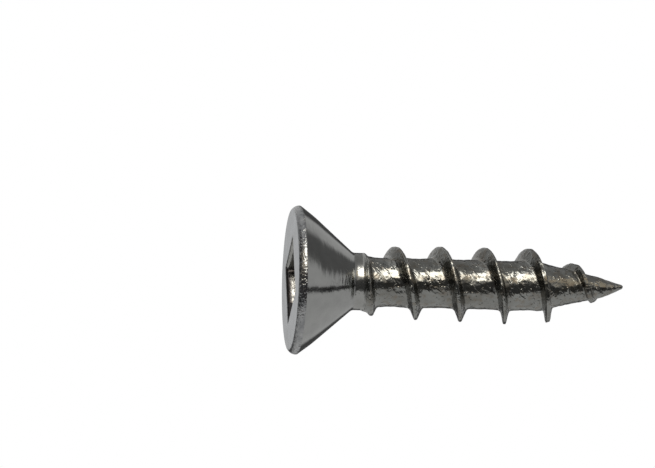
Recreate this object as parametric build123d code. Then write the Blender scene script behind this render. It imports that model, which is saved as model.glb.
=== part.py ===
from build123d import *
import math
import os

# Countersunk wood screw in stainless steel, cold headed and thread rolled from one piece of wire.
# A square driver recess sits in a flat face, and an 82 degree cone runs down to a short plain neck.
# One coarse right-hand thread follows, which fades in beside the neck and out on the point.
#
# The origin is the centre of the head's face. +Z runs along the axis to the point, so the screw
# stands on its head. The flats of the recess face X and Y. Sizes are in mm, angles in degrees.

# Whole screw
overall_length = 19.05

# Head: a flat face, a rounded rim with a narrow upright band, and the cone
head_diameter = 8.28
face_diameter = 7.84
rim_height = 0.39
rim_band = 0.10
cone_angle = 82.0

# Driver recess: its sides are a little hollow, and its mouth has a drawn-in lip
recess_width = 3.37
recess_draft = 1.5
recess_corner_radius = 0.12
recess_side_hollow = 0.03
recess_wall = 0.25
lip_width = 0.15
lip_depth = 0.13
recess_ledge = 0.20
recess_bottom_angle = 150.0

# Neck, where the wire keeps its full size, and the step down to the root of the thread
neck_diameter = 3.24
neck_length = 0.66
neck_fillet = 0.25
shoulder_length = 0.28
root_diameter = 2.80

# Point: a long cone, a steeper tip and a rounded end
point_length = 4.92
tip_length = 1.35
tip_start_diameter = 1.18
tip_radius = 0.24

# Thread ridge: a blunt crest between two steep flanks that spread out at the foot
thread_diameter = 4.18
pitch = 2.54
start_direction = 35.0
crest_width = 0.18
flank_angle = 22.0
foot_rise = 0.085
foot_spread = 0.38

# Start of the ridge: it leaves the shoulder square to the axis, then rises and picks up its lead
start_gap = 0.05
lead_in_turns = 0.62
start_crest_drop = 0.45
crest_rise_turns = 0.60

# End of the ridge: the crest follows a cone down to the point, blunter and with steeper flanks
crest_cone_angle = 24.3
crest_apex_gap = 0.10
end_crest_width = 0.33
end_flank_angle = 11.0
end_foot_spread = 0.16

# How far the hidden feet of the ridge lie inside the core, and how closely its edges are traced
buried_depth = 0.06
heel_share = 0.5
stations_per_turn = 24


def slope(angle):
    """Radius gained per mm of length on a cone whose side leans by this angle."""
    return math.tan(math.radians(angle))


head_radius = head_diameter / 2
face_radius = face_diameter / 2
neck_radius = neck_diameter / 2
root_radius = root_diameter / 2
thread_radius = thread_diameter / 2
cone_slope = slope(cone_angle / 2)

cone_start = rim_height + rim_band
neck_start = cone_start + (head_radius - neck_radius) / cone_slope
neck_end = neck_start + neck_length
root_start = neck_end + shoulder_length
point_start = overall_length - point_length
tip_start = overall_length - tip_length
thread_start = neck_end + start_gap
crest_cone_start = overall_length + crest_apex_gap - thread_radius / slope(crest_cone_angle)

# The tip's side touches its rounded end where the two share a tangent, at this lean from the axis
tip_start_radius = tip_start_diameter / 2
tip_centre = overall_length - tip_radius
tip_reach = math.hypot(tip_start_radius, tip_centre - tip_start)
tip_lean = math.atan2(tip_start_radius, tip_centre - tip_start) - math.asin(tip_radius / tip_reach)
nose_start = tip_centre + tip_radius * math.sin(tip_lean)
nose_radius = tip_radius * math.cos(tip_lean)

# The shank's outline, as (height, radius) corners from the neck to the rounded end
shank_outline = [
    (neck_start, neck_radius),
    (neck_end, neck_radius),
    (root_start, root_radius),
    (point_start, root_radius),
    (tip_start, tip_start_radius),
    (nose_start, nose_radius),
]


def blend(start, end, share):
    """Value part of the way from start to end, held at either one outside them."""
    return start + (end - start) * min(max(share, 0), 1)


def core_radius(height):
    """Radius of the bare shank at a height, read along its outline."""
    for (low, low_radius), (high, high_radius) in zip(shank_outline, shank_outline[1:]):
        if height <= high:
            return blend(low_radius, high_radius, (height - low) / (high - low))
    return nose_radius


def make_blank():
    """The head, neck and plain tapered shank, turned from one outline."""
    shank_corners = [(radius, height) for height, radius in shank_outline]
    outline = [
        Line((0, 0), (face_radius, 0)),
        TangentArc((head_radius, rim_height), (face_radius, 0), tangent=(0, -1)),
        Polyline((head_radius, rim_height), (head_radius, cone_start), *shank_corners),
        TangentArc((0, overall_length), (nose_radius, nose_start), tangent=(1, 0)),
        Line((0, overall_length), (0, 0)),
    ]
    half_section = make_face(outline)
    neck_corner = half_section.vertices().sort_by_distance((neck_radius, neck_start))[0]
    half_section = fillet(neck_corner, neck_fillet)
    return revolve(Plane.XZ * half_section, Axis.Z)


def centre_height(turns):
    """Height of the middle of the ridge, some turns after it begins."""
    if turns <= 0:
        return thread_start
    if turns < lead_in_turns:
        return thread_start + pitch * turns**2 / (2 * lead_in_turns)
    return thread_start + pitch * (turns - lead_in_turns / 2)


def crest_radius(turns):
    """Radius of the crest: it rises from the shoulder to full size, then follows the crest cone."""
    rising = thread_radius - start_crest_drop * math.exp(-turns / crest_rise_turns)
    on_cone = (overall_length + crest_apex_gap - centre_height(turns)) * slope(crest_cone_angle)
    return min(rising, on_cone)


def ridge_corners(turns):
    """Corners of the ridge's section as (height, radius), from one buried foot round to the heel."""
    middle = centre_height(turns)
    crest = crest_radius(turns)
    rise = crest - core_radius(middle)
    end_share = 1 + (middle - crest_cone_start) / pitch
    half_crest = blend(crest_width, end_crest_width, end_share) / 2
    flank_slope = slope(blend(flank_angle, end_flank_angle, end_share))
    foot = min(foot_rise, rise / 2)
    flank_reach = half_crest + (rise - foot) * flank_slope
    spread = blend(foot_spread, end_foot_spread, end_share)
    foot_reach = flank_reach + spread * (foot + buried_depth) / foot_rise
    corners = []
    for side in (-1, 1):
        flank_height = middle + side * flank_reach
        foot_height = middle + side * foot_reach
        half = [
            (foot_height, core_radius(foot_height) - buried_depth),
            (flank_height, core_radius(flank_height) + foot),
            (middle + side * half_crest, crest),
        ]
        corners += half if side < 0 else reversed(half)
    heel = (middle, core_radius(middle) * heel_share)
    return corners + [heel]


def crest_is_sunk(turns):
    """Whether the crest lies inside the core, by half the depth to which its feet are buried."""
    return crest_radius(turns) < core_radius(centre_height(turns)) - buried_depth / 2


def ridge_lengths():
    """Stations of the ridge in lengths of a turn, from its start on the neck until it sinks into the point."""
    first = 0
    while not crest_is_sunk(first / stations_per_turn):
        first -= 1
    last = stations_per_turn
    while not crest_is_sunk(last / stations_per_turn):
        last += 1
    starts = range(first, last, stations_per_turn)
    return [range(start, min(start + stations_per_turn, last) + 1) for start in starts]


def ridge_section(station):
    """Corner points of the ridge's section at one station, in the half plane through the axis there."""
    turns = station / stations_per_turn
    direction = math.radians(start_direction) + turns * 2 * math.pi
    return [
        Vector(radius * math.cos(direction), radius * math.sin(direction), height)
        for height, radius in ridge_corners(turns)
    ]


def make_ridge(stations):
    """One length of the ridge: faces ruled between its helical edges, closed by its two end sections."""
    sections = [ridge_section(station) for station in stations]
    edges = [Edge.make_spline(list(path)) for path in zip(*sections)]
    strips = [
        Face.make_surface_from_curves(edge, next_edge)
        for edge, next_edge in zip(edges, edges[1:] + edges[:1])
    ]
    ends = [Face(Wire.make_polygon(section, close=True)) for section in (sections[0], sections[-1])]
    return Solid(Shell(strips + ends))


def recess_outline(width, height):
    """Square with slightly hollow sides and rounded corners, lying level at a height."""
    half = width / 2
    corners = [(half, half), (-half, half), (-half, -half), (half, -half)]
    hollow = half - recess_side_hollow
    middles = [(0, hollow), (-hollow, 0), (0, -hollow), (hollow, 0)]
    sides = [
        ThreePointArc(corner, middle, next_corner)
        for corner, middle, next_corner in zip(corners, middles, corners[1:] + corners[:1])
    ]
    square = make_face(sides)
    return Pos(0, 0, height) * fillet(square.vertices(), recess_corner_radius)


def make_recess():
    """The space that the driver enters: lip, tapering square and shallow conical bottom."""
    corner_reach = recess_width / math.sqrt(2) - recess_corner_radius * (math.sqrt(2) - 1)
    wall_reach = recess_wall / math.cos(math.radians(cone_angle / 2))
    depth = cone_start + (head_radius - wall_reach - corner_reach) / cone_slope
    bottom_width = recess_width - 2 * depth * slope(recess_draft)
    cone_radius = bottom_width / 2 - recess_ledge
    cone_depth = cone_radius / slope(recess_bottom_angle / 2)
    mouth = recess_outline(recess_width + 2 * lip_width, 0)
    throat = recess_outline(recess_width, lip_depth)
    bottom = recess_outline(bottom_width, depth)
    lip = loft([mouth, throat], ruled=True)
    socket = loft([throat, bottom], ruled=True)
    pit = Pos(0, 0, depth) * Cone(cone_radius, 0, cone_depth, align=(Align.CENTER, Align.CENTER, Align.MIN))
    return lip + socket + pit


def make_screw():
    """The whole screw as one solid."""
    ridge = [make_ridge(stations) for stations in ridge_lengths()]
    return make_blank().fuse(*ridge) - make_recess()


screw = make_screw()
os.makedirs("parts", exist_ok=True)
export_step(screw, "parts/screw.step")
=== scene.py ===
# %% [markdown]
# # A countersunk wood screw in stainless steel
#
# A wood screw starts as a length of wire. A press upsets one end into the flat head and punches
# the square driver recess, and two ribbed plates then roll the thread and squeeze out the point.
# The metal is never cut, so head, neck, shank and thread are one piece, and here one mesh.
# It is made ring by ring from the bottom of the recess, out over the face and in to the neck,
# and the threaded shank is a long strip that is wound round the axis.

# %% Load the frame
import math

import bmesh
import bpy
import numpy as np
from mathutils import Matrix, Vector, noise


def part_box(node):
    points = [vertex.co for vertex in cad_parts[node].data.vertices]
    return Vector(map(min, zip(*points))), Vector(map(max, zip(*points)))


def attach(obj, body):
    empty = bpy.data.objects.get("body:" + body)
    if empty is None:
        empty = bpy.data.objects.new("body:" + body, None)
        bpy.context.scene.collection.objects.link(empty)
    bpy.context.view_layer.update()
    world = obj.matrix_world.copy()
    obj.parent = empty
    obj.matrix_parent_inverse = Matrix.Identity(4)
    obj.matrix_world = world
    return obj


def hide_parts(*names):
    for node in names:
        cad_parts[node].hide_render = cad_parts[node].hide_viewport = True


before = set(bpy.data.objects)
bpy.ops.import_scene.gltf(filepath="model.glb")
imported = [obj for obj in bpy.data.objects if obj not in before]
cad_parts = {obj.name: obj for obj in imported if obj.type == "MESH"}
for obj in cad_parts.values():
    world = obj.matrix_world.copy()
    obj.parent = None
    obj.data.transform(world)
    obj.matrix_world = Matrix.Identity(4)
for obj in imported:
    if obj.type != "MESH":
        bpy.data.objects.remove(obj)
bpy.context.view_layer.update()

# %% [markdown]
# ## The sizes
#
# The frame gives the two outer sizes: how long the screw is, and how wide its head is. The others
# are given here, in millimetres, for the shapes inside that box. The screw stands on its head with
# the point up, so heights are counted from the face along the axis. The real tip is a little
# blunter than the frame's, so it ends short of it.

# %% Outer sizes, from the frame
MM = 0.001
screw_low, screw_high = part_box("screw")
blunted_tip = 0.05
overall_length = (screw_high.z - screw_low.z) / MM - blunted_tip
head_radius = (screw_high.x - screw_low.x) / 2 / MM
print("length", round(overall_length, 2), "head", round(2 * head_radius, 2))

# %% Head, recess and neck
# The cone's straight line would reach the head's full width at cone_start. Below cone_bend it
# swings in a little, and so it meets the rim's edge lower down, at rim_top.
face_radius = 3.92
rim_height = 0.39
rim_top = 0.43
cone_start = 0.54
cone_bend = 1.2
cone_angle = 82
neck_radius = 1.60
neck_length = 0.61

recess_width = 3.37
lip_width = 0.19
lip_depth = 0.24
recess_depth = 2.19
recess_draft = 1.5
recess_side_hollow = 0.03
recess_corner_radius = 0.12
recess_ledge = 0.20
recess_bottom_angle = 150


def slope(angle):
    return math.tan(math.radians(angle))


neck_start = cone_start + (head_radius - neck_radius) / slope(cone_angle / 2)
neck_end = neck_start + neck_length
print("neck from", round(neck_start, 2), "to", round(neck_end, 2))

# %% Shank, point and thread
root_radius = 1.42
shoulder_length = 0.28
point_length = 4.92
tip_length = 1.35
tip_start_radius = 0.57
tip_radius = 0.13
root_start = neck_end + shoulder_length
point_start = overall_length - point_length
tip_start = overall_length - tip_length

thread_radius = 2.09
pitch = 2.54
start_direction = 35
start_gap = 0.05
thread_start = neck_end + start_gap
lead_in_turns = 0.62
start_crest_drop = 0.50
crest_rise_turns = 0.55
crest_cone_angle = 24.3
crest_apex_gap = 0.10
print("turns to the tip:", round((overall_length - thread_start) / pitch + lead_in_turns / 2, 2))

# %% [markdown]
# ## Rings that grow out of one another
#
# The head is turned in shape but has a square hole in its middle, so a plain spin can't make it.
# Instead one circle of points is added at the neck and extruded again and again. After each
# extrusion every point of the new ring is set to the outline that the head has there: a circle
# outside, a square with slightly hollow sides in the recess. Each point keeps its own direction
# round the axis, so all the rings join in straight rows of four-sided faces.

# %% How many columns go round the axis
columns_per_turn = 180
print("degrees from one point of a ring to the next:", 360 / columns_per_turn)


def circle(radius):
    """Outline of a round ring: the same radius in every direction."""
    return lambda direction: radius


def square(width):
    """Outline of the recess: flat sides, a little hollow in the middle, and small round corners."""
    half = width / 2

    def radius_towards(direction):
        from_side = (direction + math.pi / 4) % (math.pi / 2) - math.pi / 4
        across = math.tan(from_side)
        reach = half - recess_side_hollow * (1 - across**2)
        corner = recess_corner_radius * (math.sqrt(2) - 1)
        return min(reach / math.cos(from_side), half * math.sqrt(2) - corner)

    return radius_towards


def between(inner, outer, share):
    """Outline part of the way from one outline to another."""
    return lambda direction: inner(direction) + (outer(direction) - inner(direction)) * share


# %% [markdown]
# The outside of the head is first drawn as a line of (radius, height) points, as it would look if
# the screw were sawn in half. A bevel could round its edges afterwards, but every ring must keep
# the same number of points, so the corners are softened in the line itself. Long stretches are
# divided, so that the rings follow one another closely and the reflections stay even.

# %% Corners that are rounded before they are turned
def rounded(corners, steps=5):
    """A line of (radius, height, rounding) corners, each replaced by a small curve."""
    points = [Vector(corner[:2]) for corner in corners]
    line = [points[0]]
    for before, here, after, corner in zip(points, points[1:], points[2:], corners[1:]):
        reach = corner[2]
        start = here + (before - here).normalized() * reach
        end = here + (after - here).normalized() * reach
        for step in range(steps + 1):
            share = step / steps
            line.append(start.lerp(here, share).lerp(here.lerp(end, share), share))
    return line + [points[-1]]


def divided(line, longest, shortest=1e-4):
    """The same line with more points on it, none further apart than this, and none twice."""
    points = [line[0]]
    for start, end in zip(line, line[1:]):
        pieces = max(1, math.ceil((end - start).length / longest))
        points += [start.lerp(end, (piece + 1) / pieces) for piece in range(pieces)]
    return [point for point, before in zip(points[1:], points) if (point - before).length > shortest]


# %% The line of the head, from the face's edge to the neck
rim_steps = 8
rim_edge_rounding = 0.035
cone_bend_rounding = 0.25
neck_rounding = 0.14
longest_step = 0.12
strip_overlap = 0.50

first_ring_height = thread_start - strip_overlap
rim_width = head_radius - face_radius
rim_radius = (rim_height**2 + rim_width**2) / (2 * rim_width)
rim_turn = math.asin(rim_height / rim_radius)
rim_line = []
for step in range(rim_steps + 1):
    turn = rim_turn * (1 - step / rim_steps)
    inward = rim_radius * (1 - math.cos(turn))
    rim_line.append(Vector((head_radius - inward, rim_height - rim_radius * math.sin(turn))))
bend_radius = head_radius - (cone_bend - cone_start) * slope(cone_angle / 2)
cone_line = rounded(
    [
        (head_radius, rim_height, 0),
        (head_radius, rim_top, rim_edge_rounding),
        (bend_radius, cone_bend, cone_bend_rounding),
        (neck_radius, neck_start, neck_rounding),
        (neck_radius, first_ring_height, 0),
    ]
)
outer_line = rim_line + divided(cone_line, longest_step)
print("rings on the outside of the head:", len(outer_line))

# %% The rings, from the neck down over the head and into the recess
bottom_width = recess_width - 2 * recess_depth * slope(recess_draft)
pit_radius = bottom_width / 2 - recess_ledge
pit_depth = pit_radius / slope(recess_bottom_angle / 2)
mouth = square(recess_width + 2 * lip_width)
throat = square(recess_width)
bottom = square(bottom_width)
face_steps = 14
lip_steps = 4
wall_steps = 12
pit_shares = (0.66, 0.33, 0.05)

rings = [(circle(point.x), point.y) for point in reversed(outer_line)]
rings += [
    (between(circle(face_radius), mouth, step / face_steps), 0) for step in range(1, face_steps + 1)
]
for step in range(1, lip_steps + 1):
    turn = math.pi / 2 * step / lip_steps
    rings.append((between(mouth, throat, math.sin(turn)), lip_depth * (1 - math.cos(turn))))
for step in range(1, wall_steps + 1):
    share = step / wall_steps
    rings.append((between(throat, bottom, share), lip_depth + (recess_depth - lip_depth) * share))
rings.append((circle(pit_radius), recess_depth))
rings += [
    (circle(pit_radius * share), recess_depth + pit_depth * (1 - share)) for share in pit_shares
]
print("rings of the head:", len(rings))


# %% [markdown]
# The circle starts at the neck and ends in the recess. Its last ring is so small that all its
# points are merged into one, and that closes the pole at the bottom of the pit.

# %% Build the head by extruding one ring after another
def place_ring(vertices, outline, height):
    """Moves the points of a ring onto an outline at a height; each keeps its own direction."""
    for vertex in vertices:
        direction = math.atan2(vertex.co.y, vertex.co.x)
        radius = outline(direction) * MM
        vertex.co = (radius * math.cos(direction), radius * math.sin(direction), height * MM)


def selected_vertices(obj):
    mesh = bmesh.from_edit_mesh(obj.data)
    return mesh, [vertex for vertex in mesh.verts if vertex.select]


bpy.ops.object.select_all(action="DESELECT")
bpy.ops.mesh.primitive_circle_add(
    vertices=columns_per_turn,
    radius=neck_radius * MM,
    rotation=(0, 0, math.radians(start_direction)),
)
bpy.ops.object.transform_apply(location=False, rotation=True, scale=False)
head = bpy.context.object
bpy.ops.object.mode_set(mode="EDIT")
bpy.ops.mesh.select_all(action="SELECT")
for number, (outline, height) in enumerate(rings):
    if number:
        bpy.ops.mesh.extrude_edges_move()
    mesh, ring = selected_vertices(head)
    place_ring(ring, outline, height)
    bmesh.update_edit_mesh(head.data)
bpy.ops.mesh.merge(type="CENTER")
bpy.ops.object.mode_set(mode="OBJECT")
print("head points:", len(head.data.vertices), "faces:", len(head.data.polygons))

# %% [markdown]
# ## The threaded shank
#
# A real thread is pressed up out of the wire between two plates. No ready shape or operator gives
# a ridge that fades in beside the neck, keeps its pitch and then shrinks onto the point. So the
# shank is a flat strip of small faces, one pitch wide and as long as all the turns, and each of
# its points is moved to its place round the axis. The strip's two long edges lie on the crest of
# one turn and of the next, so the turns meet along the crest and are merged there.

# %% The core of the shank
tip_centre = overall_length - tip_radius
tip_reach = math.hypot(tip_start_radius, tip_centre - tip_start)
tip_lean = math.atan2(tip_start_radius, tip_centre - tip_start) - math.asin(tip_radius / tip_reach)
nose_start = tip_centre + tip_radius * math.sin(tip_lean)
nose_radius = tip_radius * math.cos(tip_lean)
core_heights = [0, neck_end, root_start, point_start, tip_start, nose_start]
core_radii = [neck_radius, neck_radius, root_radius, root_radius, tip_start_radius, nose_radius]


def core_radius(heights):
    """Radius of the shank without its thread, with a round end."""
    heights = np.asarray(heights, float)
    plain = np.interp(heights, core_heights, core_radii)
    ball = np.sqrt(np.clip(tip_radius**2 - (heights - tip_centre) ** 2, 0, None))
    return np.where(heights > nose_start, ball, plain)


print("core radius at the root", root_radius, "and at the round end's start", round(nose_radius, 3))

# %% [markdown]
# Rolling is never quite even, so the turns of a real thread aren't all alike. On this screw one
# turn runs early, one late and one stands proud. A soft hump around its own turn adds each of
# these to a true helix. The ready screw modifier would give only even turns.

# %% Where the ridge runs, turn by turn
before_start = 0.25
late_turn, late_turn_width, late_by = 5, 0.22, 0.17
early_turn, early_turn_width, early_by = 4.49, 0.20, 0.06
proud_turn, proud_turn_width, proud_by = 3.49, 0.20, 0.09


def hump(turns, middle, width):
    """1 at its middle, and softly down to 0 on both sides."""
    return math.exp(-(((turns - middle) / width) ** 2))


def pass_height(turns):
    """Height of the ridge's middle. Before its start the line climbs the neck from the first ring."""
    if turns <= -before_start:
        climb = min(max((turns + 1) / (1 - before_start), 0), 1)
        return first_ring_height + (thread_start - first_ring_height) * climb
    if turns <= 0:
        return thread_start
    if turns < lead_in_turns:
        return thread_start + pitch * turns**2 / (2 * lead_in_turns)
    wander = late_by * hump(turns, late_turn, late_turn_width)
    wander -= early_by * hump(turns, early_turn, early_turn_width)
    return min(thread_start + pitch * (turns - lead_in_turns / 2) + wander, overall_length)


def crest_radius(turns):
    """Radius of the crest. It rises beside the neck, then follows a cone into the round tip."""
    if pass_height(turns) > tip_centre:
        return 0
    rising = thread_radius - start_crest_drop * math.exp(-turns / crest_rise_turns)
    rising += proud_by * hump(turns, proud_turn, proud_turn_width)
    on_cone = (overall_length + crest_apex_gap - pass_height(turns)) * slope(crest_cone_angle)
    return min(rising, on_cone)


print("height of the ridge after 1, 3 and 6 turns:", [round(pass_height(n), 2) for n in (1, 3, 6)])

# %% [markdown]
# Cut across, the ridge has a narrow flat crest, two flanks and a foot that spreads into the core.
# Towards the point the crest gets wider and the flanks steeper, and where the ridge begins its
# lower flank leans far out. The section is worked out anew at every step of the winding, so all
# of this changes smoothly along the thread.

# %% The section of the ridge
crest_width, worn_crest_width = 0.18, 0.31
flank_angle, steep_flank_drop, worn_flank_drop = 22, 11, 5
steep_from, steep_over = 9.8, 2.4
start_lean, start_lean_turn, start_lean_width = 24, 0.5, 0.25
low_foot_spread, high_foot_spread, worn_foot_spread = 0.12, 0.08, 0.06
foot_rise = 0.085
buried_depth = 0.06
crest_cone_start = overall_length + crest_apex_gap - thread_radius / slope(crest_cone_angle)


def ridge_section(turns):
    """Middle, crest radius and foot height of the ridge, then how far its parts reach up and down."""
    middle = pass_height(turns)
    crest = crest_radius(turns)
    rise = max(crest - float(core_radius(middle)), 0)
    worn = min(max(1 + (middle - crest_cone_start) / pitch, 0), 1)
    steeper = min(max((middle - steep_from) / steep_over, 0), 1)
    half_crest = (crest_width + (worn_crest_width - crest_width) * worn) / 2
    high_angle = flank_angle - steep_flank_drop * steeper - worn_flank_drop * worn
    low_angle = high_angle + start_lean * hump(turns, start_lean_turn, start_lean_width)
    foot = min(foot_rise, rise / 2)
    flank_reaches = [half_crest + (rise - foot) * slope(angle) for angle in (low_angle, high_angle)]
    spreads = [wide + (worn_foot_spread - wide) * worn for wide in (low_foot_spread, high_foot_spread)]
    foot_reaches = [
        reach + spread * (foot + buried_depth) / foot_rise
        for reach, spread in zip(flank_reaches, spreads)
    ]
    return middle, crest, foot, half_crest, flank_reaches, foot_reaches


# %% The radius of the ridge
def ridge_radius(heights, section):
    """Radius of the ridge at some heights, before it joins the core."""
    middle, crest, foot, half_crest, (low_flank, high_flank), (low_foot, high_foot) = section
    offsets = [-low_foot, -low_flank, -half_crest, half_crest, high_flank, high_foot]
    rise = crest - float(core_radius(middle))
    rises = [-buried_depth, foot, rise, rise, foot, -buried_depth]
    return core_radius(heights) + np.interp(heights - middle, offsets, rises, left=-1, right=-1)


print("ridge at the third turn, middle, crest and foot:", [round(x, 3) for x in ridge_section(3)[:3]])

# %% [markdown]
# The strip's rows lie close together on the two ridges that it joins and wider apart on the root
# between them. Each point takes the radius of the core or of a ridge, whichever stands higher.
# The average over a few heights close by softens the corners, as a bevel would, and the root sags
# a little between the turns, because the metal for the ridges was pressed out of it.

# %% The rows across one strip
crest_rows = 3
flank_rows = 8
foot_rows = 5
root_rows = 18
ridge_share = 0.9
row_count = 2 * (crest_rows + flank_rows + foot_rows) + root_rows
print("faces across the strip:", row_count)


def strip_heights(low_section, high_section):
    """Heights of the strip's rows, close together on the ridges and wider apart on the root."""
    half_width = (high_section[0] - low_section[0]) / 2
    row_marks = np.cumsum([0, crest_rows, flank_rows, foot_rows])
    rows = np.arange(row_marks[-1] + 1)
    halves = []
    for section, side in ((low_section, 1), (high_section, 0)):
        half_crest, flank_reaches, foot_reaches = section[3:]
        reaches = np.array([0, half_crest, flank_reaches[side], foot_reaches[side]])
        reaches *= min(1, ridge_share * half_width / reaches[-1])
        halves.append(np.interp(rows, row_marks, reaches))
    low_side = low_section[0] + halves[0]
    high_side = high_section[0] - halves[1][::-1]
    root = np.linspace(low_side[-1], high_side[0], root_rows + 1)[1:-1]
    return np.concatenate([low_side, root, high_side])


# %% The radius of every row
corner_softness = 0.045
corner_samples = 7
root_sag = 0.055
sag_grows_over, sag_fades_over = 0.5, 2
tip_closes_over = 0.15


def strip_radii(heights, sections):
    """Radius at each row: the core or a ridge, whichever stands higher, with softened corners."""
    low_middle, high_middle = sections[1][0], sections[2][0]
    share = (heights - low_middle) / max(high_middle - low_middle, 1e-6)
    growing = np.clip((heights - neck_end) / sag_grows_over, 0, 1)
    fading = np.clip((tip_start - heights) / sag_fades_over, 0, 1)
    sag = root_sag * np.sin(math.pi * share) ** 2 * (growing * fading)
    total = np.zeros(len(heights))
    for sample in np.linspace(-1, 1, corner_samples):
        moved = np.minimum(heights + sample * corner_softness, overall_length)
        surfaces = [core_radius(moved) - sag] + [ridge_radius(moved, section) for section in sections]
        total += np.max(surfaces, axis=0)
    soft = total / corner_samples
    tip_share = np.clip((overall_length - heights) / tip_closes_over, 0, 1)
    return soft * tip_share + core_radius(heights) * (1 - tip_share)


# %% [markdown]
# The plates leave the rolled metal wavy, and roughest on the point, where they squeeze hardest.
# Dents that catch the outline are real shape here, and finer ones come later, in the finish. The
# neck isn't rolled and stays plain, and the relief fades where the point gets thin.

# %% Dents and ripples from the rolling plates
neck_fade = 0.3
point_fade = 1.5
thin_radius = 0.45


def relief(point, dents_per_mm, depth):
    """Soft random relief of one size of dent, in mm."""
    return noise.noise(point * dents_per_mm) * depth


def roughness_at(point, height, radius):
    """How far the rolled surface stands off its true place: broad dents, ripples and wear."""
    broad = relief(point, 1.1, 0.030)
    ripple = relief(point, 3.7, 0.018)
    fine = relief(Vector((point.x, point.y, point.z * 0.6)), 9, 0.004)
    point_share = min(max((height - point_start) / point_fade, 0), 1)
    rough = (relief(point, 4.3, 0.030) + relief(point, 9, 0.006)) * point_share
    neck_share = min(max((height - neck_end) / neck_fade, 0), 1)
    end_share = min(radius / thin_radius, 1) ** 2
    return (broad + ripple + fine + rough) * neck_share * end_share


dented_spot = Vector((0, root_radius, point_start))
print("dent at one spot, mm:", round(roughness_at(dented_spot, point_start, root_radius), 4))

# %% [markdown]
# The strip is added as a flat grid, and then all its points are set at once: each column is one
# step round the axis, and each row keeps its place between one ridge and the next. It starts two
# turns early, so that it wraps the neck smoothly, and it ends in the round tip, which leans a
# little to one side.

# %% Wind the strip round the axis
last_turn = (overall_length - thread_start) / pitch + lead_in_turns / 2
first_turn = -2
column_count = math.ceil((last_turn - first_turn) * columns_per_turn)

tip_lean_out = 0.075
tip_lean_length = 1.2
tip_lean_azimuth = math.radians(31)
lean_x, lean_y = math.cos(tip_lean_azimuth), math.sin(tip_lean_azimuth)

bpy.ops.object.select_all(action="DESELECT")
bpy.ops.mesh.primitive_grid_add(x_subdivisions=column_count, y_subdivisions=row_count, size=MM)
strip = bpy.context.object
places = np.zeros((row_count + 1, column_count + 1, 3))
for column in range(column_count + 1):
    turns = first_turn + column / columns_per_turn
    sections = [ridge_section(turns + offset) for offset in (-1, 0, 1, 2)]
    heights = strip_heights(*sections[1:3])
    radii = strip_radii(heights, sections)
    direction = math.radians(start_direction) + turns * 2 * math.pi
    share_x, share_y = math.cos(direction), math.sin(direction)
    for row, (height, radius) in enumerate(zip(heights, radii)):
        point = Vector((radius * share_x, radius * share_y, height))
        radius += roughness_at(point, height, radius)
        lean = tip_lean_out * min(max((height - tip_start) / tip_lean_length, 0), 1) ** 2
        places[row, column] = (
            radius * share_x + lean * lean_x,
            radius * share_y + lean * lean_y,
            height,
        )
strip.data.vertices.foreach_set("co", (places * MM).ravel())
strip.data.update()
print("strip:", column_count, "columns of", row_count, "faces; highest", places[..., 2].max())

# %% [markdown]
# Head and shank are one piece of metal, so they become one mesh. Their rings have the same number
# of points in the same directions, and the turns of the strip meet point by point, so a merge at a
# very small distance closes every seam. The normals are then made to point outwards. At the very
# tip, where the turns run together, the skin touches itself at a few points. They are counted.

# %% Join head and shank, and close every seam
merge_distance = 0.002 * MM
bpy.ops.object.select_all(action="DESELECT")
head.select_set(True)
strip.select_set(True)
bpy.context.view_layer.objects.active = head
bpy.ops.object.join()
screw = bpy.context.object
screw.name = "screw_steel"
bpy.ops.object.mode_set(mode="EDIT")
bpy.ops.mesh.select_all(action="SELECT")
bpy.ops.mesh.remove_doubles(threshold=merge_distance)
bpy.ops.mesh.normals_make_consistent(inside=False)
bpy.ops.mesh.select_all(action="DESELECT")
bpy.ops.mesh.select_non_manifold()
bpy.ops.object.mode_set(mode="OBJECT")
touching_points = sum(vertex.select for vertex in screw.data.vertices)
triangles = sum(len(face.vertices) - 2 for face in screw.data.polygons)
print("screw: touching points", touching_points, "triangles", triangles)

# %% [markdown]
# Pressed metal has soft edges nearly everywhere, so the faces are shaded smoothly. Only an edge
# that turns by a large angle stays sharp, such as the one where the recess's walls meet its
# ledge. The mesh then takes the place of the frame's screw and rides on its body.

# %% Smooth faces, sharp only where the metal is
sharpest_smooth_angle = 42
bpy.ops.object.shade_smooth_by_angle(angle=math.radians(sharpest_smooth_angle))
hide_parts("screw")
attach(screw, "root")
print("sharp edges:", sum(edge.use_edge_sharp for edge in screw.data.edges))


# %% [markdown]
# ## Finishes
#
# It is all one steel, and only what the tools did to it differs from place to place. The face is
# satin, the cone has fine rings from the press, the rim is burnished dark with small bright
# nicks, the neck is still as smooth as the wire, and the rolled shank is darker and crumpled, with
# warm stains in clouds. Each finish is a material of its own. All are metal, and their
# patterns read the object's own coordinates, so they stay where they are when the screw moves.

# %% A new metal, and where a spot on it lies
def per_mm(count):
    """Scale of a pattern that repeats this many times in a millimetre."""
    return count / MM


def new_material(name):
    material = bpy.data.materials.new(name)
    material.use_nodes = True
    nodes = material.node_tree.nodes
    nodes.clear()
    shader = nodes.new("ShaderNodeBsdfPrincipled")
    output = nodes.new("ShaderNodeOutputMaterial")
    material.node_tree.links.new(shader.outputs["BSDF"], output.inputs["Surface"])
    shader.inputs["Metallic"].default_value = 1
    return material, shader


def stretched(material, stretch=(1, 1, 1)):
    """The object's coordinates, squeezed or stretched along each axis."""
    nodes, links = material.node_tree.nodes, material.node_tree.links
    place = nodes.new("ShaderNodeTexCoord")
    mapping = nodes.new("ShaderNodeMapping")
    mapping.inputs["Scale"].default_value = stretch
    links.new(place.outputs["Object"], mapping.inputs["Vector"])
    return mapping.outputs["Vector"]


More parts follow.
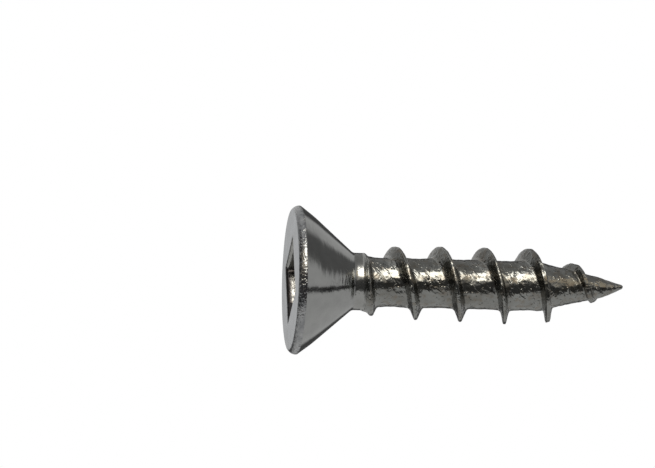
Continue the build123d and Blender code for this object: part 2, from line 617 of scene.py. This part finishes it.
def along(material, direction):
    """How far a spot lies along a direction, in object coordinates."""
    product = material.node_tree.nodes.new("ShaderNodeVectorMath")
    product.operation = "DOT_PRODUCT"
    product.inputs[1].default_value = direction
    material.node_tree.links.new(stretched(material), product.inputs[0])
    return product.outputs["Value"]


# %% Patterns
def cloudy(material, scale, detail=3, roughness=0.55, stretch=(1, 1, 1)):
    """A soft random pattern from 0 to 1."""
    texture = material.node_tree.nodes.new("ShaderNodeTexNoise")
    texture.inputs["Scale"].default_value = scale
    texture.inputs["Detail"].default_value = detail
    texture.inputs["Roughness"].default_value = roughness
    material.node_tree.links.new(stretched(material, stretch), texture.inputs["Vector"])
    return texture.outputs["Fac"]


def drawn_out(material, place, direction, squeeze=0.16):
    """Coordinates that make a pattern long and narrow along a direction."""
    nodes, links = material.node_tree.nodes, material.node_tree.links
    turned = nodes.new("ShaderNodeMapping")
    turned.inputs["Rotation"].default_value = direction.rotation_difference(Vector((0, 0, 1))).to_euler()
    links.new(place, turned.inputs["Vector"])
    squeezed = nodes.new("ShaderNodeMapping")
    squeezed.inputs["Scale"].default_value = (1, 1, squeeze)
    links.new(turned.outputs["Vector"], squeezed.inputs["Vector"])
    return squeezed.outputs["Vector"]


def crumpled(material, scale, direction=None):
    """Sharp creases like those of crumpled foil, or fine scratches along a direction."""
    place = stretched(material)
    if direction:
        place = drawn_out(material, place, direction)
    texture = material.node_tree.nodes.new("ShaderNodeTexNoise")
    texture.noise_type = "RIDGED_MULTIFRACTAL"
    texture.inputs["Scale"].default_value = scale
    texture.inputs["Detail"].default_value = 3
    texture.inputs["Distortion"].default_value = 0.8
    material.node_tree.links.new(place, texture.inputs["Vector"])
    return texture.outputs["Fac"]


# %% Colours and values from patterns
most_of_it = (0.3, 0.7)


def shades(material, pattern, stops):
    """Turns a pattern into colours through (position, colour) stops."""
    ramp = material.node_tree.nodes.new("ShaderNodeValToRGB")
    elements = ramp.color_ramp.elements
    for element, (position, colour) in zip(elements, stops):
        element.position = position
        element.color = (*colour, 1)
    for position, colour in stops[2:]:
        elements.new(position).color = (*colour, 1)
    material.node_tree.links.new(pattern, ramp.inputs["Fac"])
    return ramp.outputs["Color"]


def between_values(material, pattern, low, high, start=0.0, end=1.0):
    """Stretches a pattern's range from start to end over low to high."""
    stretch = material.node_tree.nodes.new("ShaderNodeMapRange")
    stretch.inputs["From Min"].default_value = start
    stretch.inputs["From Max"].default_value = end
    stretch.inputs["To Min"].default_value = low
    stretch.inputs["To Max"].default_value = high
    material.node_tree.links.new(pattern, stretch.inputs["Value"])
    return stretch.outputs["Result"]


# %% Patterns put together
def blended(material, share, first, second):
    """A colour that goes over to a second one where the share is 1."""
    mix = material.node_tree.nodes.new("ShaderNodeMix")
    mix.data_type = "RGBA"
    links = material.node_tree.links
    links.new(share, mix.inputs[0])
    links.new(first, mix.inputs[6])
    mix.inputs[7].default_value = (*second, 1)
    return mix.outputs[2]


def combined(material, operation, first, second):
    """Two patterns multiplied, or the larger of the two."""
    node = material.node_tree.nodes.new("ShaderNodeMath")
    node.operation = operation
    material.node_tree.links.new(first, node.inputs[0])
    material.node_tree.links.new(second, node.inputs[1])
    return node.outputs[0]


# %% Relief
def bumps(material, layers):
    """Stacks (pattern, depth in mm) layers of relief and returns the bent normal."""
    nodes, links = material.node_tree.nodes, material.node_tree.links
    normal = None
    for pattern, depth in layers:
        bump = nodes.new("ShaderNodeBump")
        bump.inputs["Strength"].default_value = 1
        bump.inputs["Distance"].default_value = depth * MM
        links.new(pattern, bump.inputs["Height"])
        if normal:
            links.new(normal, bump.inputs["Normal"])
        normal = bump.outputs["Normal"]
    return normal


def finish_shader(material, shader, colour, roughness, layers):
    links = material.node_tree.links
    links.new(colour, shader.inputs["Base Color"])
    links.new(roughness, shader.inputs["Roughness"])
    links.new(bumps(material, layers), shader.inputs["Normal"])
    print(material.name, "has", len(material.node_tree.nodes), "nodes")


# %% [markdown]
# The face is struck flat by the press and then tumbled, so it is evenly satin. A cloudy pattern
# varies the colour and the gloss a little, and a very fine grain takes the mirror out of it.

# %% Satin face
def make_face_steel():
    material, shader = new_material("satin_face")
    mottle = cloudy(material, per_mm(1.2), detail=5)
    grain = cloudy(material, per_mm(14), detail=2)
    colour = shades(material, mottle, [(0.3, (0.39, 0.41, 0.43)), (0.7, (0.51, 0.52, 0.53))])
    roughness = between_values(material, mottle, 0.22, 0.34, *most_of_it)
    finish_shader(material, shader, colour, roughness, [(grain, 0.0015)])
    return material


# %% [markdown]
# The rim is squeezed against the die and rubs on other screws ever after. That leaves it glossy
# and full of small sharp nicks, which glint in the light. The ridged kind of noise gives such
# nicks, where the soft kind would give only waves.

# %% Burnished rim with bright nicks
def make_rim_steel():
    material, shader = new_material("burnished_rim")
    stain = cloudy(material, per_mm(2.5), detail=4)
    nicks = crumpled(material, per_mm(8))
    colour = shades(material, stain, [(0.35, (0.235, 0.241, 0.247)), (0.65, (0.385, 0.387, 0.385))])
    roughness = between_values(material, stain, 0.05, 0.12, *most_of_it)
    finish_shader(material, shader, colour, roughness, [(nicks, 0.045)])
    return material


# %% [markdown]
# The press leaves fine rings round the cone. They are a noise that is drawn out across the head
# and squeezed along its axis, so it turns into lines that run round. A picture of rings would
# need the mesh to be unfolded first, and noise in the object's own space doesn't.

# %% Cone with fine pressed rings
def make_cone_steel():
    material, shader = new_material("ringed_cone")
    fine_rings = cloudy(material, per_mm(1), detail=3, stretch=(0.6, 0.6, 9))
    streaks = cloudy(material, per_mm(1), detail=3, stretch=(1.3, 1.3, 5))
    mottle = cloudy(material, per_mm(0.9), detail=5)
    colour = shades(material, mottle, [(0.3, (0.295, 0.298, 0.29)), (0.7, (0.36, 0.362, 0.352))])
    roughness = between_values(material, mottle, 0.07, 0.14, *most_of_it)
    finish_shader(material, shader, colour, roughness, [(streaks, 0.010), (fine_rings, 0.003)])
    return material


# %% [markdown]
# The neck keeps the surface of the drawn wire. It is a little lighter and much smoother than the
# rolled shank, with soft waves and only a few faint creases.

# %% Drawn neck
def make_neck_steel():
    material, shader = new_material("drawn_neck")
    mottle = cloudy(material, per_mm(1.5), detail=4)
    waves = cloudy(material, per_mm(1.6), detail=2)
    creases = crumpled(material, per_mm(3.0))
    colour = shades(material, mottle, [(0.3, (0.30, 0.30, 0.285)), (0.7, (0.38, 0.382, 0.37))])
    roughness = between_values(material, mottle, 0.16, 0.26, *most_of_it)
    finish_shader(material, shader, colour, roughness, [(waves, 0.03), (creases, 0.014)])
    return material


# %% [markdown]
# The punch draws the recess's walls smooth. Its lip is painted dark, a painted shade, except on the
# two pale sides, and so is one corner. Those two sides are painted pale and less metallic, a painted
# light that makes them look lit. On another side a stretch in the middle is turned by some degrees
# and clean, so it flashes where its neighbours stay dark. A layer of relief that rises evenly turns
# a whole flat stretch like that, and noise only makes it uneven.

# %% Recess walls
def make_recess_steel():
    material, shader = new_material("punched_recess")
    across, depth = along(material, (1, 0, 0)), along(material, (0, 0, 1))
    # painted light: two sides of the recess are painted pale so that they look lit
    painted_lit_sides = between_values(material, along(material, (1, 1, 0)), 0, 1, -0.05 * MM, 0.10 * MM)
    plain_sides = between_values(material, painted_lit_sides, 1, 0)
    # painted shade: the lip of the other sides and one corner are painted dark
    painted_lip_shade = between_values(material, depth, 1, 0, 0.22 * MM, 0.36 * MM)
    corner = between_values(material, along(material, (1, -3, 0)), 0, 1, 6.15 * MM, 6.45 * MM)
    painted_shade = combined(material, "MAXIMUM", combined(material, "MULTIPLY", painted_lip_shade, plain_sides), corner)

    rubbed = between_values(material, across, 0, 1, -0.50 * MM, 1.20 * MM)
    turned_off = between_values(material, across, 1, 0, -1.60 * MM, -0.50 * MM)
    opening_out = between_values(material, depth, 0, 1, 0.25 * MM, 2.25 * MM)
    patches = cloudy(material, per_mm(2.4), detail=3)
    draw_lines = cloudy(material, per_mm(3), detail=3, stretch=(1, 1, 0.12))

    colour = shades(material, patches, [(0.38, (0.15, 0.145, 0.135)), (0.60, (0.52, 0.51, 0.48))])
    # painted light: the two sides that look lit are painted pale
    colour = blended(material, painted_lit_sides, colour, (0.84, 0.84, 0.80))
    # painted shade: lip and corner painted nearly black
    colour = blended(material, painted_shade, colour, (0.06, 0.055, 0.055))
    roughness = between_values(material, draw_lines, 0.16, 0.26, *most_of_it)
    slopes = [(rubbed, 0.20), (turned_off, 0.12), (opening_out, 0.22)]
    layers = slopes + [(patches, 0.05), (draw_lines, 0.012)]
    finish_shader(material, shader, colour, roughness, layers)
    # the sides painted pale as painted light are also made less metallic
    metal_share = between_values(material, painted_lit_sides, 0.92, 0.30)
    material.node_tree.links.new(metal_share, shader.inputs["Metallic"])
    return material


# %% [markdown]
# The rolled shank has the richest surface. Rolling crumples its skin like foil and drags
# scratches aslant over it, small dents come from other screws in the box, and the point is pitted
# on top of that. In colour the steel goes from grey to a darker olive, with warm tarnish in
# clouds and a few dark specks. Every kind of mark is a layer of its own, so that each can have
# its own size and depth.

# %% Marks that grow towards the point
pitted_from, pitted_to = point_start - 0.5, point_start + 1.5


def on_point(material, pattern):
    """Lets a pattern grow in towards the point, where the plates squeeze hardest."""
    height = along(material, (0, 0, 1))
    share = between_values(material, height, 0, 1, pitted_from * MM, pitted_to * MM)
    return combined(material, "MULTIPLY", pattern, share)


# %% Rolled shank
scratch_direction = Vector((-0.64, -0.38, 0.67))


def make_shank_steel():
    material, shader = new_material("rolled_shank")
    stain = cloudy(material, per_mm(0.9), detail=5)
    steel = shades(
        material,
        stain,
        [(0.30, (0.19, 0.185, 0.165)), (0.72, (0.295, 0.30, 0.285)), (0.50, (0.25, 0.252, 0.238))],
    )
    tarnish = between_values(material, cloudy(material, per_mm(3.2), detail=3), 0, 0.50, 0.50, 0.66)
    specks = between_values(material, cloudy(material, per_mm(5), detail=3), 0, 0.8, 0.64, 0.70)
    colour = blended(material, tarnish, steel, (0.19, 0.155, 0.115))
    colour = blended(material, specks, colour, (0.04, 0.037, 0.034))
    roughness = between_values(material, stain, 0.24, 0.15, *most_of_it)

    waves = cloudy(material, per_mm(1.6), detail=2)
    creases = crumpled(material, per_mm(2.6))
    scratches = crumpled(material, per_mm(5), scratch_direction)
    dents = between_values(material, cloudy(material, per_mm(3.0), detail=2), 0, 1, 0.58, 0.66)
    grain = cloudy(material, per_mm(8), detail=3)
    pits = on_point(material, cloudy(material, per_mm(3.5), detail=3))
    layers = [(waves, 0.03), (creases, 0.026), (scratches, 0.022)]
    layers += [(dents, 0.016), (grain, 0.004), (pits, 0.016)]
    finish_shader(material, shader, colour, roughness, layers)
    return material


# %% [markdown]
# Each face of the mesh gets the finish of the place where its middle lies: its height says whether
# it is on the face, rim, cone, neck or shank, and its distance from the axis whether it is inside
# the recess.

# %% Give the screw its finishes
finishes = [
    make_face_steel(),
    make_rim_steel(),
    make_cone_steel(),
    make_recess_steel(),
    make_shank_steel(),
    make_neck_steel(),
]
screw.data.materials.clear()
for material in finishes:
    screw.data.materials.append(material)
print("finishes:", len(screw.data.materials))

# %% Which finish a face has
FACE, RIM, CONE, RECESS, SHANK, NECK = range(len(finishes))
face_level = 1e-4
past_ledge = 0.01
inner_lip = 0.12


def finish_at(centre):
    """Which finish a face has, from where its middle lies."""
    radius = math.hypot(centre.x, centre.y) / MM
    height = centre.z / MM
    direction = math.atan2(centre.y, centre.x)
    if height < face_level:
        return FACE
    if height < recess_depth + past_ledge and radius < throat(direction) + inner_lip:
        return RECESS
    if height < recess_depth + pit_depth + past_ledge and radius < pit_radius:
        return RECESS
    if height < rim_top:
        return RIM
    if height < neck_start:
        return CONE
    return NECK if height < neck_end else SHANK


# %% Put the finishes on their faces
for face in screw.data.polygons:
    face.material_index = finish_at(face.center)
print("faces of each finish:", np.bincount([face.material_index for face in screw.data.polygons]))

# %% [markdown]
# ## The studio
#
# The screw is seen from its side, lying across the picture with its head to the left, and the eye
# is a little on the head's side. The frame has it standing up, so the camera is rolled by a
# quarter turn. Three directions describe the picture: along the screw to the right, up, and out
# towards the eye. Everything in the studio is placed by them.

# %% Directions of the picture
picture_up_azimuth = math.radians(30.8)
right = Vector((0, 0, 1))
up = Vector((math.cos(picture_up_azimuth), math.sin(picture_up_azimuth), 0))
out = right.cross(up)
print("out of the picture:", [round(part, 3) for part in out])

# %% [markdown]
# The camera stands far off and has a long lens, so the thread looks nearly as in a drawing. The
# eye is turned by some degrees towards the head, and the screw lies a little askew. The lens
# follows from how many pixels of the picture a millimetre takes.

# %% The camera
picture_width, picture_height = 655, 468
aim_height = 9.5 * MM
aim_pixel = (458.2, 284.2)
pixels_per_mm = 17.78
eye_distance = 125 * MM
eye_yaw = math.radians(11.2)
eye_roll = math.radians(1.47)

aim = right * aim_height
towards_eye = out * math.cos(eye_yaw) - right * math.sin(eye_yaw)
bpy.ops.object.camera_add(location=aim + towards_eye * eye_distance)
camera = bpy.context.object
focal_pixels = pixels_per_mm * eye_distance / MM
camera.data.sensor_width = 36
camera.data.lens = focal_pixels / picture_width * camera.data.sensor_width
camera.data.clip_start = 10 * MM
camera.data.clip_end = 10_000 * MM

level_right = (right * math.cos(eye_yaw) + out * math.sin(eye_yaw)).normalized()
level_up = towards_eye.cross(level_right)
turned_right = level_right * math.cos(eye_roll) + level_up * math.sin(eye_roll)
turned_up = level_up * math.cos(eye_roll) - level_right * math.sin(eye_roll)
print("camera", [round(x, 4) for x in camera.location], "lens", round(camera.data.lens, 1))

# %% [markdown]
# In the picture the screw stands right of the middle and a little below it. A camera moved
# sideways would see another side of the screw, so it is turned instead, by the angle between the
# picture's middle and the pixel where the point that it aims at belongs.

# %% Turn the camera so that the screw stands right of the picture's middle
looking = Matrix((turned_right, turned_up, towards_eye)).transposed()
pixel_ray = Vector(
    (aim_pixel[0] - picture_width / 2, picture_height / 2 - aim_pixel[1], -focal_pixels)
).normalized()
offset = Vector((0, 0, -1)).rotation_difference(pixel_ray).to_matrix()
camera.rotation_euler = (looking @ offset.transposed()).to_euler()
bpy.context.scene.camera = camera
print("turned aside by", round(math.degrees(offset.to_quaternion().angle), 2), "degrees")

# %% [markdown]
# The floor is a plain pale sheet under the head, a hair below it. The photographed side is seen
# from just below the floor's level, so the sheet is clear from underneath and shows only from
# above. It takes the screw's shadow, and it is left out of reflections, where the light tent
# stands in for it.


# %% The floor
def stage_material(name):
    material = bpy.data.materials.new(name)
    material.use_nodes = True
    material.node_tree.nodes.clear()
    return material, material.node_tree.nodes, material.node_tree.links


floor_size = 3
floor_gap = 0.02 * MM
paper_grey = 0.86
bpy.ops.object.select_all(action="DESELECT")
bpy.ops.mesh.primitive_plane_add(size=floor_size, location=(0, 0, -floor_gap))
floor = bpy.context.object
floor.name = "floor"
floor_material, nodes, links = stage_material("pale_floor")
geometry = nodes.new("ShaderNodeNewGeometry")
paper = nodes.new("ShaderNodeBsdfDiffuse")
paper.inputs["Color"].default_value = (*[paper_grey] * 3, 1)
clear = nodes.new("ShaderNodeBsdfTransparent")
one_sided = nodes.new("ShaderNodeMixShader")
output = nodes.new("ShaderNodeOutputMaterial")
links.new(geometry.outputs["Backfacing"], one_sided.inputs["Fac"])
links.new(paper.outputs["BSDF"], one_sided.inputs[1])
links.new(clear.outputs["BSDF"], one_sided.inputs[2])
links.new(one_sided.outputs["Shader"], output.inputs["Surface"])
floor.data.materials.append(floor_material)
floor.visible_glossy = False
floor.visible_shadow = False
print("floor of", floor_size, "m square,", floor_gap / MM, "mm under the head")

# %% [markdown]
# Polished steel has hardly any colour of its own: it shows what stands around it. So the screw
# hangs in a light tent, a large ball of pale cloth that only reflections can see, with dark cards
# hung in it. A camera would see such cards only in the metal, and so does this one.

# %% Tent
tent_radius = 0.6
bpy.ops.mesh.primitive_ico_sphere_add(subdivisions=5, radius=tent_radius)
tent = bpy.context.object
tent.name = "light_tent"
tent.visible_camera = False
tent.visible_diffuse = False
tent.visible_shadow = False
tent.visible_transmission = False
tent_material, nodes, links = stage_material("tent_cloth")
tent.data.materials.append(tent_material)
print("tent of", len(tent.data.polygons), "faces")


# %% How the cloth's pattern is described
def tent_node(kind, *sources, **settings):
    """A node of the tent's cloth with its inputs linked in order, or set where they are numbers."""
    node = nodes.new(kind)
    for name, value in settings.items():
        setattr(node, name, value)
    for socket, source in zip(node.inputs, sources):
        if isinstance(source, bpy.types.NodeSocket):
            links.new(source, socket)
        else:
            socket.default_value = source
    return node


place = tent_node("ShaderNodeTexCoord").outputs["Object"]


def towards(direction):
    """How far a spot on the tent lies towards a direction, from -1 to 1."""
    node = tent_node("ShaderNodeVectorMath", place, direction / tent_radius, operation="DOT_PRODUCT")
    return node.outputs["Value"]


def soft_step(value, start, end):
    """0 before start, 1 past end, and smooth in between."""
    node = nodes.new("ShaderNodeMapRange")
    node.interpolation_type = "SMOOTHSTEP"
    links.new(value, node.inputs["Value"])
    node.inputs["From Min"].default_value = start
    node.inputs["From Max"].default_value = end
    return node.outputs["Result"]


# %% How patches are put together
def all_of(*shares):
    """1 only where every share is 1."""
    product = shares[0]
    for share in shares[1:]:
        product = tent_node("ShaderNodeMath", product, share, operation="MULTIPLY").outputs[0]
    return product


def band(value, low, high, softness):
    """1 between low and high, 0 outside, with edges this soft."""
    opening = soft_step(value, low - softness, low + softness)
    return all_of(opening, soft_step(value, high + softness, high - softness))


def retoned(tone, share, patch_tone):
    """A tone that goes over to another one where the share is 1."""
    mix = nodes.new("ShaderNodeMix")
    links.new(share, mix.inputs["Factor"])
    if isinstance(tone, bpy.types.NodeSocket):
        links.new(tone, mix.inputs["A"])
    else:
        mix.inputs["A"].default_value = tone
    mix.inputs["B"].default_value = patch_tone
    return mix.outputs["Result"]


# %% [markdown]
# Each card is a patch of the ball, given by how far it lies to the right, up and out, where 1 is
# straight that way. The dark line where the cloth meets the table draws the fine line on the
# cone, and the card in front of the screw draws the black band along the shank. The cards to the
# left darken the rim and the flanks that face the head, and the two flags to the right put the
# dark patches on the upper half of the cone. Above the eye the cloth glows a little warm.

# %% Where the cards hang
rightward, upward, outward = towards(right), towards(up), towards(out)
flag_direction = (right * 0.92 + up * 0.23 - out * 0.22).normalized()
upper_flag_direction = (right * 0.886 + up * 0.43 - out * 0.17).normalized()

table_line = band(upward, -0.195, -0.105, 0.010)
front_card = all_of(
    soft_step(upward, -0.62, -0.54), soft_step(upward, 0.42, 0.05), soft_step(outward, 0.20, 0.38)
)
left_card = all_of(
    band(upward, -0.48, 0.78, 0.08), soft_step(outward, -0.40, -0.20), soft_step(rightward, -0.10, -0.30)
)
top_card = all_of(soft_step(upward, 0.50, 0.75), soft_step(rightward, -0.05, 0.12))
back_card = all_of(
    band(upward, -0.60, 0.60, 0.08), soft_step(outward, -0.62, -0.75), band(rightward, 0.08, 0.50, 0.05)
)
far_left = all_of(soft_step(rightward, -0.38, -0.50), soft_step(outward, -0.35, -0.50))
far_left_table = all_of(
    band(upward, -0.50, -0.11, 0.03),
    soft_step(rightward, 0.00, -0.12),
    soft_step(outward, -0.35, -0.50),
    soft_step(rightward, -0.70, -0.55),
)
flag = soft_step(towards(flag_direction), 0.955, 0.992)
upper_flag = soft_step(towards(upper_flag_direction), 0.930, 0.985)
warm_glow = all_of(band(upward, 0.30, 0.66, 0.10), soft_step(outward, 0.30, 0.50))
print("nodes that place the patches:", len(nodes))

# %% The tones of cloth and cards
tent_tone = 0.62
patch_tones = [
    (table_line, 0.03),
    (front_card, 0.06),
    (left_card, 0.06),
    (top_card, 0.32),
    (back_card, 0.08),
    (far_left, 0.40),
    (far_left_table, 0.08),
    (flag, 0.10),
    (upper_flag, 0.16),
    (warm_glow, 0.90),
]
tone = tent_tone
for share, patch_tone in patch_tones:
    tone = retoned(tone, share, patch_tone)

white, warm_white = (1, 1, 1, 1), (1, 0.86, 0.66, 1)
cloth_colour = nodes.new("ShaderNodeMix")
cloth_colour.data_type = "RGBA"
links.new(warm_glow, cloth_colour.inputs[0])
cloth_colour.inputs[6].default_value = white
cloth_colour.inputs[7].default_value = warm_white
glow = tent_node("ShaderNodeEmission")
links.new(cloth_colour.outputs[2], glow.inputs["Color"])
links.new(tone, glow.inputs["Strength"])
tent_output = nodes.new("ShaderNodeOutputMaterial")
links.new(glow.outputs[0], tent_output.inputs["Surface"])
print("patches on the cloth:", len(patch_tones), "and nodes in its material:", len(nodes))

# %% [markdown]
# One soft square lamp stands in front of the screw and above it. Its mirror image is the bright
# streak along the shank, and its size and distance set how broad that streak is. The energy is
# worked out from how bright the lamp's face looks, so that it stays when the size changes.

# %% Lamp
lamp_climb = math.radians(41)
lamp_distance = 0.25
lamp_size = 0.15
lamp_radiance = 4.6
lamp_colour = (1, 0.97, 0.90)

lamp_direction = up * math.sin(lamp_climb) + out * math.cos(lamp_climb)
lamp_place = aim + lamp_direction.normalized() * lamp_distance
bpy.ops.object.light_add(type="AREA", location=lamp_place)
lamp = bpy.context.object
lamp.name = "key_lamp"
lamp.data.size = lamp_size
lamp.data.color = lamp_colour
lamp.data.energy = lamp_radiance * math.pi * lamp_size**2
lamp.rotation_euler = lamp_direction.to_track_quat("Z", "Y").to_euler()
lamp.visible_camera = False
print("lamp of", round(lamp.data.energy, 3), "W")

# %% [markdown]
# The room is white. It has its full strength where the camera sees it, straight or in a mirror
# or through a clear sheet. As light on matt things it is weaker, so that the backdrop is pure
# white and a pale matt surface still keeps its tone.

# %% World
room_light = 0.55
room_seen = 1
world = bpy.data.worlds.new("white_room")
bpy.context.scene.world = world
world.use_nodes = True
nodes, links = world.node_tree.nodes, world.node_tree.links
rays = nodes.new("ShaderNodeLightPath")


def either(first, second):
    """1 where one of two shares is 1."""
    node = nodes.new("ShaderNodeMath")
    node.operation = "MAXIMUM"
    links.new(first, node.inputs[0])
    links.new(second, node.inputs[1])
    return node.outputs[0]


seen = either(rays.outputs["Is Camera Ray"], rays.outputs["Is Glossy Ray"])
seen = either(seen, rays.outputs["Is Transmission Ray"])
strength = nodes.new("ShaderNodeMapRange")
strength.inputs["To Min"].default_value = room_light
strength.inputs["To Max"].default_value = room_seen
links.new(seen, strength.inputs["Value"])
background = nodes["Background"]
background.inputs["Color"].default_value = white
links.new(strength.outputs["Result"], background.inputs["Strength"])
bpy.context.scene.view_settings.view_transform = "Standard"
print("white room with", len(nodes), "nodes")
